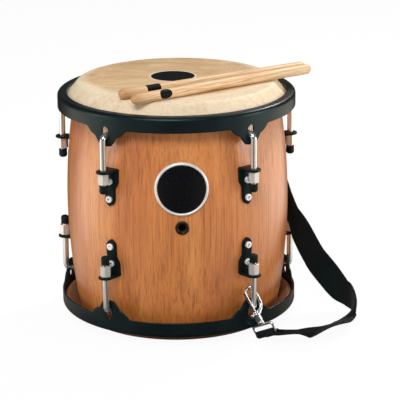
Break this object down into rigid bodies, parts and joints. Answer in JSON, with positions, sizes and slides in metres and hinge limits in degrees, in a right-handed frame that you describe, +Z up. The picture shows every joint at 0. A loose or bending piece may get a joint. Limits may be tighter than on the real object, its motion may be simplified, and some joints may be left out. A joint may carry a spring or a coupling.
{
  "type": "tambora drum",
  "caption": "Two-headed barrel drum with rod-tuned rawhide heads, black counterhoops with ears, a clipped webbing strap and wooden sticks lying on the upper head.",
  "frame": {"origin": "centre of the lower head's flat face, on which the drum stands", "axes": "+Z up along the drum's axis; -Y to the front, midway between two lugs, where the badge and the vent are; +X to the right seen from the front"},
  "size_m": [0.4035, 0.3441, 0.3359],
  "materials": {
    "shell_wood": "satin lacquer",
    "rawhide": "dry hide",
    "black_enamel": "satin enamel",
    "chrome": "polished",
    "rubber": "matt",
    "zinc": "bright plating",
    "bronze": "dark patina",
    "stick_wood": "sanded",
    "webbing": "woven"
  },
  "bodies": {
    "drum": {"shell": "shell_wood", "badge_disc": "black_enamel", "badge_ring": "chrome", "vent_grommet": "bronze", "top_skin": "rawhide", "bottom_skin": "rawhide", "strap": "webbing", "lower_snap_eye": "zinc", "upper_snap_eye": "zinc", "top_lug_1": "black_enamel", "top_lug_2": "black_enamel", "top_lug_3": "black_enamel", "top_lug_4": "black_enamel", "top_lug_5": "black_enamel", "bottom_lug_1": "black_enamel", "bottom_lug_2": "black_enamel", "bottom_lug_3": "black_enamel", "bottom_lug_4": "black_enamel", "bottom_lug_5": "black_enamel"},
    "top_tuning": {"top_rim": "black_enamel", "top_flesh_hoop": "zinc", "top_hook_1": "chrome", "top_hook_2": "chrome", "top_hook_3": "chrome", "top_hook_4": "chrome", "top_hook_5": "chrome", "top_cap_1": "rubber", "top_cap_2": "rubber", "top_cap_3": "rubber", "top_cap_4": "rubber", "top_cap_5": "rubber"},
    "top_nut_1": {"top_nut_1": "chrome"},
    "top_nut_2": {"top_nut_2": "chrome"},
    "top_nut_3": {"top_nut_3": "chrome"},
    "top_nut_4": {"top_nut_4": "chrome"},
    "top_nut_5": {"top_nut_5": "chrome"},
    "bottom_tuning": {"bottom_rim": "black_enamel", "bottom_flesh_hoop": "zinc", "bottom_hook_1": "chrome", "bottom_hook_2": "chrome", "bottom_hook_3": "chrome", "bottom_hook_4": "chrome", "bottom_hook_5": "chrome", "bottom_cap_1": "rubber", "bottom_cap_2": "rubber", "bottom_cap_3": "rubber", "bottom_cap_4": "rubber", "bottom_cap_5": "rubber"},
    "bottom_nut_1": {"bottom_nut_1": "chrome"},
    "bottom_nut_2": {"bottom_nut_2": "chrome"},
    "bottom_nut_3": {"bottom_nut_3": "chrome"},
    "bottom_nut_4": {"bottom_nut_4": "chrome"},
    "bottom_nut_5": {"bottom_nut_5": "chrome"},
    "stick_1": {"stick_1": "stick_wood"},
    "stick_2": {"stick_2": "stick_wood"},
    "lower_snap_hook": {"lower_snap_hook": "zinc"},
    "lower_snap_bolt": {"lower_snap_bolt": "zinc"},
    "upper_snap_hook": {"upper_snap_hook": "zinc"},
    "upper_snap_bolt": {"upper_snap_bolt": "zinc"}
  },
  "joints": [
    {"name": "top_rim_draw", "type": "slide", "parent": "drum", "child": "top_tuning", "axis": [0, 0, -1], "range_m": [-0.00125, 0.0025], "deforming": ["top_skin"]},
    {"name": "top_nut_1_turn", "type": "hinge", "parent": "drum", "child": "top_nut_1", "pos_m": [0.09634, -0.1326, 0.2235], "axis": [0, 0, 1], "range_deg": [-360, 720]},
    {"name": "top_nut_2_turn", "type": "hinge", "parent": "drum", "child": "top_nut_2", "pos_m": [0.15588, 0.05065, 0.2235], "axis": [0, 0, 1], "range_deg": [-360, 720]},
    {"name": "top_nut_3_turn", "type": "hinge", "parent": "drum", "child": "top_nut_3", "pos_m": [0, 0.1639, 0.2235], "axis": [0, 0, 1], "range_deg": [-360, 720]},
    {"name": "top_nut_4_turn", "type": "hinge", "parent": "drum", "child": "top_nut_4", "pos_m": [-0.15588, 0.05065, 0.2235], "axis": [0, 0, 1], "range_deg": [-360, 720]},
    {"name": "top_nut_5_turn", "type": "hinge", "parent": "drum", "child": "top_nut_5", "pos_m": [-0.09634, -0.1326, 0.2235], "axis": [0, 0, 1], "range_deg": [-360, 720]},
    {"name": "bottom_rim_draw", "type": "slide", "parent": "drum", "child": "bottom_tuning", "axis": [0, 0, 1], "range_m": [-0.00125, 0.0025], "deforming": ["bottom_skin"]},
    {"name": "bottom_nut_1_turn", "type": "hinge", "parent": "drum", "child": "bottom_nut_1", "pos_m": [0.09634, -0.1326, 0.0985], "axis": [0, 0, -1], "range_deg": [-360, 720]},
    {"name": "bottom_nut_2_turn", "type": "hinge", "parent": "drum", "child": "bottom_nut_2", "pos_m": [0.15588, 0.05065, 0.0985], "axis": [0, 0, -1], "range_deg": [-360, 720]},
    {"name": "bottom_nut_3_turn", "type": "hinge", "parent": "drum", "child": "bottom_nut_3", "pos_m": [0, 0.1639, 0.0985], "axis": [0, 0, -1], "range_deg": [-360, 720]},
    {"name": "bottom_nut_4_turn", "type": "hinge", "parent": "drum", "child": "bottom_nut_4", "pos_m": [-0.15588, 0.05065, 0.0985], "axis": [0, 0, -1], "range_deg": [-360, 720]},
    {"name": "bottom_nut_5_turn", "type": "hinge", "parent": "drum", "child": "bottom_nut_5", "pos_m": [-0.09634, -0.1326, 0.0985], "axis": [0, 0, -1], "range_deg": [-360, 720]},
    {"name": "stick_1_lift", "type": "slide", "parent": "drum", "child": "stick_1", "axis": [0, 0, 1], "range_m": [0, 0.1]},
    {"name": "stick_2_lift", "type": "slide", "parent": "drum", "child": "stick_2", "axis": [0, 0, 1], "range_m": [0, 0.1]},
    {"name": "lower_snap_swivel", "type": "hinge", "parent": "drum", "child": "lower_snap_hook", "pos_m": [0.08424, -0.13533, 0.0658], "axis": [0.4747, -0.1757, -0.8624], "range_deg": [0, 5]},
    {"name": "lower_snap_draw", "type": "slide", "parent": "lower_snap_hook", "child": "lower_snap_bolt", "axis": [0.4747, -0.1757, -0.8624], "range_m": [0, 0.007], "stiffness_N_per_m": 150, "springref_m": -0.005},
    {"name": "upper_snap_swivel", "type": "hinge", "parent": "drum", "child": "upper_snap_hook", "pos_m": [-0.0125, 0.1707, 0.2593], "axis": [0.8, 0, -0.6], "range_deg": [-12, 15]},
    {"name": "upper_snap_draw", "type": "slide", "parent": "upper_snap_hook", "child": "upper_snap_bolt", "axis": [0.8, 0, -0.6], "range_m": [0, 0.007], "stiffness_N_per_m": 150, "springref_m": -0.005}
  ],
  "couplings": [
    {"joint": "top_nut_1_turn", "follows": "top_rim_draw", "rad_per_m": 5026.5},
    {"joint": "top_nut_2_turn", "follows": "top_rim_draw", "rad_per_m": 5026.5},
    {"joint": "top_nut_3_turn", "follows": "top_rim_draw", "rad_per_m": 5026.5},
    {"joint": "top_nut_4_turn", "follows": "top_rim_draw", "rad_per_m": 5026.5},
    {"joint": "top_nut_5_turn", "follows": "top_rim_draw", "rad_per_m": 5026.5},
    {"joint": "bottom_nut_1_turn", "follows": "bottom_rim_draw", "rad_per_m": 5026.5},
    {"joint": "bottom_nut_2_turn", "follows": "bottom_rim_draw", "rad_per_m": 5026.5},
    {"joint": "bottom_nut_3_turn", "follows": "bottom_rim_draw", "rad_per_m": 5026.5},
    {"joint": "bottom_nut_4_turn", "follows": "bottom_rim_draw", "rad_per_m": 5026.5},
    {"joint": "bottom_nut_5_turn", "follows": "bottom_rim_draw", "rad_per_m": 5026.5}
  ]
}
